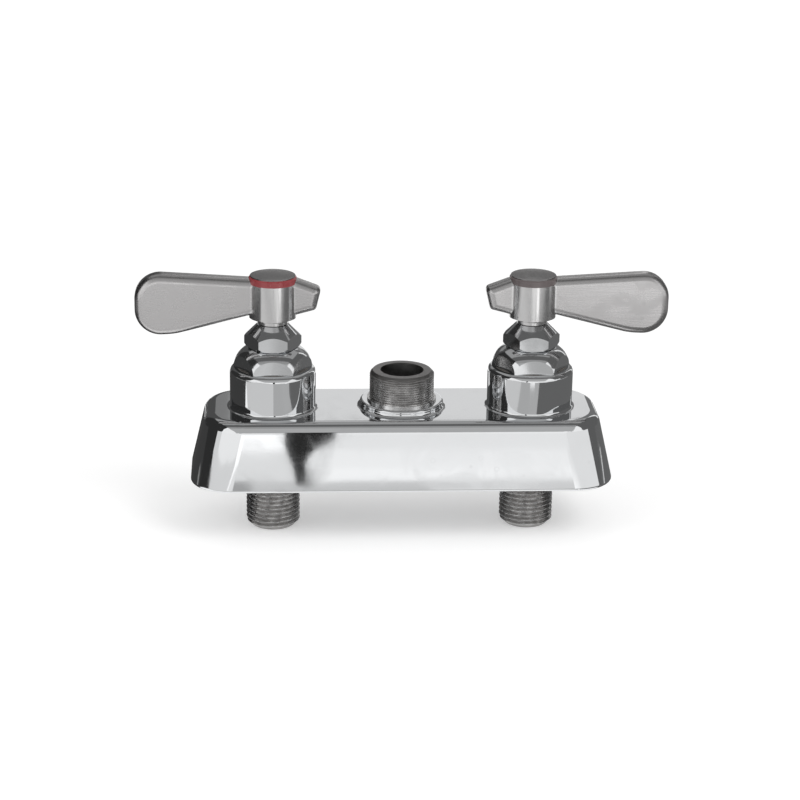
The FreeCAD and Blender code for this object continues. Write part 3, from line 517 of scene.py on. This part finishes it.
cap_plate = plated("dark_cap_plate", (0.32, 0.31, 0.31), 0.16, 0.10, 90.0)
cap_radius, cap_wall, cap_foot, cap_top = 0.00735, 0.0011, 0.0756, 0.0807
ring_top, brim_radius, brim_top, brim_rounding = 0.0802, 0.0089, 0.08048, 0.0002
brim_gap, dome_margin = 0.00002, 0.0006
under_brim = ring_top + brim_gap
brim_edge = [(brim_radius - brim_rounding * (1 - math.cos(turn)),
              brim_top - brim_rounding + brim_rounding * math.sin(turn))
             for turn in np.linspace(0.0, math.pi / 2, 6)]
dome = [(radius, brim_top + (cap_top - brim_top) * (1 - (radius / brim_radius) ** 2))
        for radius in np.linspace(brim_radius - dome_margin, dome_margin, 12)]
for side, across in valve_sides:
    cap = turned_cap(f"{side}_brimmed_cap", across, [
        (0.0, ring_top - cap_wall),
        (cap_radius - cap_wall, ring_top - cap_wall),
        (cap_radius - cap_wall, cap_foot),
        (cap_radius, cap_foot),
        (cap_radius, under_brim),
        (brim_radius, under_brim),
        *brim_edge,
        *dome,
        (0.0, cap_top),
    ])
    cap.data.materials.append(cap_plate)
    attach(cap, f"{side}_lever")
    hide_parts(f"{side}_index_cap")


# Outlet spigot and its seal
# A threaded brass spigot screwed into the middle boss on a rubber ring. The spout's collar would screw
# on the fine thread above the flange, and the bore opens into the casting's mixing chamber.

spigot_radius, spigot_bore_radius, spigot_tail_radius = 0.0127, 0.0085, 0.0108
spigot_foot, spigot_flange_foot, spigot_flange_top, spigot_top = 0.0248, 0.0298, 0.0307, 0.0417
spigot_flange_radius, spigot_chamfer = 0.0136, 0.0012
spigot_pitch, spigot_thread_start = inch / 27, spigot_flange_top + 0.0002
# Between these radii the shade painted into the thread's roots fades to the plate's own colour
spigot_dark_radius, spigot_bright_radius = 0.0120, 0.0126
seal_foot, seal_thickness = 0.0264, 0.0016
spigot_plate = threaded_plate("spigot_thread_plate", (0.84, 0.835, 0.83), 0.0,
                              spigot_dark_radius, spigot_bright_radius, spigot_top)
spigot = threaded_tube("threaded_spigot", 0.0, [
    (spigot_bore_radius, spigot_foot),
    (spigot_tail_radius, spigot_foot),
    (spigot_tail_radius, seal_foot),
    (spigot_tail_radius - seal_thickness, seal_foot),
    (spigot_tail_radius - seal_thickness, seal_foot + seal_thickness),
    (spigot_tail_radius, seal_foot + seal_thickness),
    (spigot_tail_radius, spigot_flange_foot),
    (spigot_flange_radius, spigot_flange_foot),
    (spigot_flange_radius, spigot_flange_top),
    (spigot_radius, spigot_flange_top),
    (spigot_radius, spigot_top - spigot_chamfer),
    (spigot_radius - spigot_chamfer, spigot_top),
    (spigot_bore_radius, spigot_top),
], spigot_thread_start, spigot_top, spigot_pitch, spigot_radius)
spigot.data.materials.append(spigot_plate)
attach(spigot, "body")
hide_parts("outlet_spigot")
dress(black_rubber, "outlet_seal_ring")


# Studio
# A pale floor at the shanks' feet, two soft lamps, and the cards that a photographer stands round chrome:
# dark ones draw its edges, grey and pale ones tone its faces, and only reflections show them. The camera
# stands where the photograph was taken from.

def plain_mesh(name, corners):
    """A flat face through its corners, as an object. Returns the object and its mesh."""
    mesh = bpy.data.meshes.new(name)
    mesh.from_pydata(corners, [], [tuple(range(len(corners)))])
    sheet = bpy.data.objects.new(name, mesh)
    bpy.context.scene.collection.objects.link(sheet)
    return sheet, mesh


def empty_tree(owner):
    """The node tree of a material or world, with its nodes cleared away."""
    owner.use_nodes = True
    owner.node_tree.nodes.clear()
    return owner.node_tree


def card(name, corners, grey):
    """A flat card of one even tone through its corners, which only reflections show."""
    sheet, mesh = plain_mesh(name, corners)
    material = bpy.data.materials.new(name)
    tree = empty_tree(material)
    tone = add_node(tree, "ShaderNodeEmission", values={"Color": (grey, grey, grey, 1.0), "Strength": 1.0})
    output = tree.nodes.new("ShaderNodeOutputMaterial")
    tree.links.new(tone.outputs[0], output.inputs["Surface"])
    material.cycles.emission_sampling = "NONE"
    mesh.materials.append(material)
    sheet.visible_camera = False
    sheet.visible_diffuse = False
    sheet.visible_shadow = False
    sheet.visible_transmission = False
    sheet.visible_volume_scatter = False


def side_card(name, x, outline, grey):
    """A card that stands across the x axis, through (y, z) corners."""
    card(name, [(x, y, z) for y, z in outline], grey)


def standing_card(name, first, last, foot, top, grey):
    """An upright card between two (x, y) places, from the level foot to the level top."""
    card(name, [(*first, foot), (*last, foot), (*last, top), (*first, top)], grey)


def lying_card(name, outline, level, grey):
    """A card that lies flat at a level, through (x, y) corners."""
    card(name, [(x, y, level) for x, y in outline], grey)


def rectangle(x0, x1, y0, y1):
    """The (x, y) corners of a rectangle."""
    return [(x0, y0), (x1, y0), (x1, y1), (x0, y1)]


# Where cards lie over each other the upper one shows, so each kind has a level of its own above the floor
floor_level = shank_foot - 0.0001
pale_level, grey_level, flag_level, rim_level = -0.0219, -0.0218, -0.0214, -0.0212
# What several cards share: the places and heights of the upright ones and the borders of the lying ones
wall_x, pale_wall_x, back_y, slip_y = 0.70, 0.71, 1.00, -0.324
card_foot, wall_top, back_foot, back_top = -0.022, 1.10, -0.02, 0.92
left_pale_top, front_pale_top = 0.24, 0.14
left_corner, front_corner = (-pale_wall_x, -0.34), (-0.20, -0.80)
grey_front, grey_back, middle_x, split_x = -0.352, -0.06, 0.03, -0.03
far_y, near_y, far_x = -0.60, -0.44, 1.20

side_card("left_flag", -wall_x, [
    (-0.31, card_foot), (back_y, card_foot), (back_y, wall_top), (-0.34, wall_top),
    (-0.34, left_pale_top), (-0.16, 0.06), (-0.16, 0.04), (-0.31, 0.024)], 0.03)
standing_card("left_pale", (-pale_wall_x, -0.10), left_corner, card_foot, left_pale_top, 0.77)
pale_edge = [(-0.20, -0.80, -0.012), (-0.42, -0.602, 0.028), (-0.71, -0.34, 0.055)]
card("left_front_pale", [(*left_corner, card_foot), (*front_corner, card_foot), *pale_edge], 0.77)
card("left_front_bright", [
    (*left_corner, front_pale_top), (*front_corner, front_pale_top), *pale_edge], 0.98)
standing_card("right_front_pale", (pale_wall_x, -0.12), (0.30, -0.85), card_foot, front_pale_top, 0.88)
side_card("right_flag", wall_x, [
    (-0.13, card_foot), (0.83, card_foot), (0.83, wall_top), (-0.36, wall_top), (-0.36, 0.22)], 0.12)
lying_card("left_floor_flag", [
    (-0.70, -0.19), (-0.33, -0.19), (-0.24, -0.05), (-0.12, -0.01), (-0.062, 0.006),
    (-0.062, 0.22), (-0.165, 0.22), (-0.165, 0.90), (-0.70, 0.90)], flag_level, 0.05)
lying_card("right_floor_flag", [
    (0.075, -0.06), (0.075, -0.14), (0.12, -0.205), (0.70, -0.215), (0.70, 0.90),
    (0.21, 0.90), (0.21, 0.22), (0.063, 0.22), (0.063, 0.006), (0.11, -0.03)], flag_level, 0.14)
lying_card("under_body_grey", rectangle(-0.040, 0.040, 0.006, 0.20), flag_level, 0.18)
lying_card("left_rim_grey", rectangle(-0.47, -0.375, -0.15, 0.14), rim_level, 0.32)
lying_card("right_rim_pale", rectangle(0.390, 0.47, -0.09, 0.14), rim_level, 0.66)
lying_card("blade_grey", rectangle(-0.42, -0.06, grey_front, -0.28), grey_level, 0.40)
lying_card("hub_grey", rectangle(-0.06, middle_x, grey_front, -0.28), grey_level, 0.66)
lying_card("front_left_grey", rectangle(-0.42, -0.049, -0.28, grey_back), grey_level, 0.66)
lying_card("front_middle_grey", rectangle(-0.049, middle_x, -0.28, grey_back), grey_level, 0.46)
lying_card("hub_right_grey", [
    (middle_x, grey_front), (0.126, grey_front), (0.126, -0.27), (0.092, -0.27), (0.092, -0.285),
    (middle_x, -0.285)], grey_level, 0.74)
lying_card("front_right_grey", [
    (middle_x, -0.285), (0.092, -0.285), (0.092, -0.27), (0.074, -0.27), (0.074, -0.20),
    (middle_x, -0.20)], grey_level, 1.00)
lying_card("blade_right_bright", rectangle(0.126, 0.19, grey_front, -0.27), grey_level, 1.75)
lying_card("valve_right_grey", [
    (0.074, -0.27), (0.17, -0.27), (0.17, grey_back), (middle_x, grey_back), (middle_x, -0.20),
    (0.074, -0.20)], grey_level, 0.47)
lying_card("far_right_grey", [
    (0.19, grey_front), (0.45, grey_front), (0.45, -0.205), (0.17, -0.205), (0.17, -0.27),
    (0.19, -0.27)], grey_level, 0.43)
lying_card("left_far_pale", rectangle(-0.45, split_x, far_y, grey_front), pale_level, 0.88)
lying_card("right_far_pale", rectangle(split_x, far_x, -2.00, far_y), pale_level, 0.94)
lying_card("right_near_pale", rectangle(split_x, far_x, far_y, near_y), pale_level, 1.04)
lying_card("right_front_bright", rectangle(split_x, far_x, near_y, grey_front), pale_level, 1.12)
standing_card("cap_shade", (-0.10, 0.25), (0.13, 0.25), 0.124, 0.19, 0.26)
lying_card("overhead_scrim", rectangle(-0.80, 0.80, -0.60, 1.05), 0.90, 0.34)
lying_card("overhead_bar", rectangle(-0.80, 0.80, -0.29, 0.06), 0.88, 0.13)
card("front_scrim", [
    (-0.45, -1.00, 0.24), (0.70, -1.00, 0.24), (0.80, -0.60, 0.90), (-0.80, -0.60, 0.90)], 0.46)
standing_card("back_grey", (-0.085, back_y), (0.34, back_y), back_foot, back_top, 0.76)
standing_card("back_left_shade", (-0.105, 0.99), (-0.078, 0.99), back_foot, 0.80, 0.22)
standing_card("back_left_flag", (-0.72, back_y), (-0.085, back_y), back_foot, back_top, 0.08)
standing_card("back_right_flag", (0.34, back_y), (0.72, back_y), back_foot, back_top, 0.18)
slip = [(-0.0165, 0.115), (-0.0165, 0.004), (-0.0178, 0.0015), (-0.0215, -0.0008), (-0.0265, -0.003),
        (-0.0300, -0.007), (-0.0320, -0.012), (-0.0285, -0.019), (-0.0290, -0.0213), (-0.0362, -0.0213),
        (-0.0385, -0.012), (-0.0412, -0.006), (-0.0435, 0.000), (-0.0425, 0.115)]
card("front_dark_slip", [(x, slip_y, z) for x, z in slip], 0.02)

# Matt paper that also glows a little to the camera and in reflections, more so away from the faucet
floor_reach = 6.0
glow_from, glow_to, near_glow, far_glow = 0.35, 1.30, 0.34, 0.56
white = (1.0, 1.0, 1.0, 1.0)
floor, floor_mesh = plain_mesh("floor", [
    (x, y, floor_level) for x, y in rectangle(-floor_reach, floor_reach, -floor_reach, floor_reach)])
paper = bpy.data.materials.new("pale_paper")
tree = empty_tree(paper)
matte = add_node(tree, "ShaderNodeBsdfDiffuse", values={"Color": (0.80, 0.80, 0.80, 1.0)})
glow = add_node(tree, "ShaderNodeEmission", values={"Color": white})
path = tree.nodes.new("ShaderNodeLightPath")
mirrored = math_node(tree, "MAXIMUM", path.outputs["Is Glossy Ray"], path.outputs["Is Transmission Ray"])
shown = math_node(tree, "MAXIMUM", path.outputs["Is Camera Ray"], mirrored)
here = tree.nodes.new("ShaderNodeTexCoord").outputs["Object"]
away = add_node(tree, "ShaderNodeVectorMath", operation="LENGTH", links={0: here}).outputs["Value"]
strength = math_node(tree, "MULTIPLY", shown, spread(tree, away, glow_from, glow_to, near_glow, far_glow))
tree.links.new(strength, glow.inputs["Strength"])
summed = add_node(tree, "ShaderNodeAddShader", links={0: matte.outputs[0], 1: glow.outputs[0]})
output = tree.nodes.new("ShaderNodeOutputMaterial")
tree.links.new(summed.outputs[0], output.inputs["Surface"])
floor_mesh.materials.append(paper)

# The room lights softly, while what the camera and reflections see of it is plain white
world = bpy.data.worlds.new("studio_world")
bpy.context.scene.world = world
tree = empty_tree(world)
path = tree.nodes.new("ShaderNodeLightPath")
room = add_node(tree, "ShaderNodeBackground", values={"Color": white, "Strength": 0.62})
backdrop = add_node(tree, "ShaderNodeBackground", values={"Color": white, "Strength": 1.0})
direct = math_node(tree, "MAXIMUM", path.outputs["Is Camera Ray"], path.outputs["Is Transmission Ray"])
seen = math_node(tree, "MAXIMUM", direct, path.outputs["Is Glossy Ray"])
mixed = add_node(tree, "ShaderNodeMixShader", links={0: seen, 1: room.outputs[0], 2: backdrop.outputs[0]})
output = tree.nodes.new("ShaderNodeOutputWorld")
tree.links.new(mixed.outputs[0], output.inputs["Surface"])


def stand(rig, right, up, back, place):
    """Puts a lamp or camera at a place, with its own axes along right, up and back."""
    rows = np.eye(4)
    rows[:3, 0], rows[:3, 1], rows[:3, 2], rows[:3, 3] = right, up, back, place
    rig.matrix_world = Matrix(rows.tolist())


def soft_light(name, centre, aim, size, power):
    """A square area lamp at centre that faces the point aim and that reflections don't show."""
    lamp = bpy.data.lights.new(name, "AREA")
    lamp.size = size
    lamp.energy = power
    rig = bpy.data.objects.new(name, lamp)
    bpy.context.scene.collection.objects.link(rig)
    place = np.array(centre)
    away = place - np.array(aim)
    away /= np.linalg.norm(away)
    across = np.cross((0.0, 0.0, 1.0), away)
    across /= np.linalg.norm(across)
    rig.visible_glossy = False
    stand(rig, across, np.cross(away, across), away, place)


faucet_middle, lamp_size = (0.0, 0.0, 0.03), 0.9
soft_light("key", (0.9, -0.9, 1.3), faucet_middle, lamp_size, 12.0)
soft_light("fill", (-1.1, -0.7, 0.9), faucet_middle, lamp_size, 5.0)

# The photograph's camera: its direction, tilt, scale and place, fitted to points of the faucet's outline
camera_data = bpy.data.cameras.new("camera")
camera = bpy.data.objects.new("camera", camera_data)
bpy.context.scene.collection.objects.link(camera)
bpy.context.scene.camera = camera
azimuth, elevation, roll = math.radians(-3.865), math.radians(18.85), math.radians(-0.964)
distance, pixels_per_metre, frame_pixels, shift_pixels = 0.9, 2527.0, 800, (-1.522, -2.448)
back = np.array([math.sin(azimuth) * math.cos(elevation), -math.cos(azimuth) * math.cos(elevation),
                 math.sin(elevation)])
level_right = np.array([math.cos(azimuth), math.sin(azimuth), 0.0])
level_up = np.cross(back, level_right)
right = level_right * math.cos(roll) - level_up * math.sin(roll)
up = level_right * math.sin(roll) + level_up * math.cos(roll)
stand(camera, right, up, back, np.array(faucet_middle) + back * distance)
camera_data.sensor_width = 36.0
camera_data.lens = camera_data.sensor_width * pixels_per_metre * distance / frame_pixels
camera_data.shift_x, camera_data.shift_y = (shift / frame_pixels for shift in shift_pixels)
camera_data.clip_start, camera_data.clip_end = 0.01, 20.0

bpy.context.scene.view_settings.view_transform = "Standard"
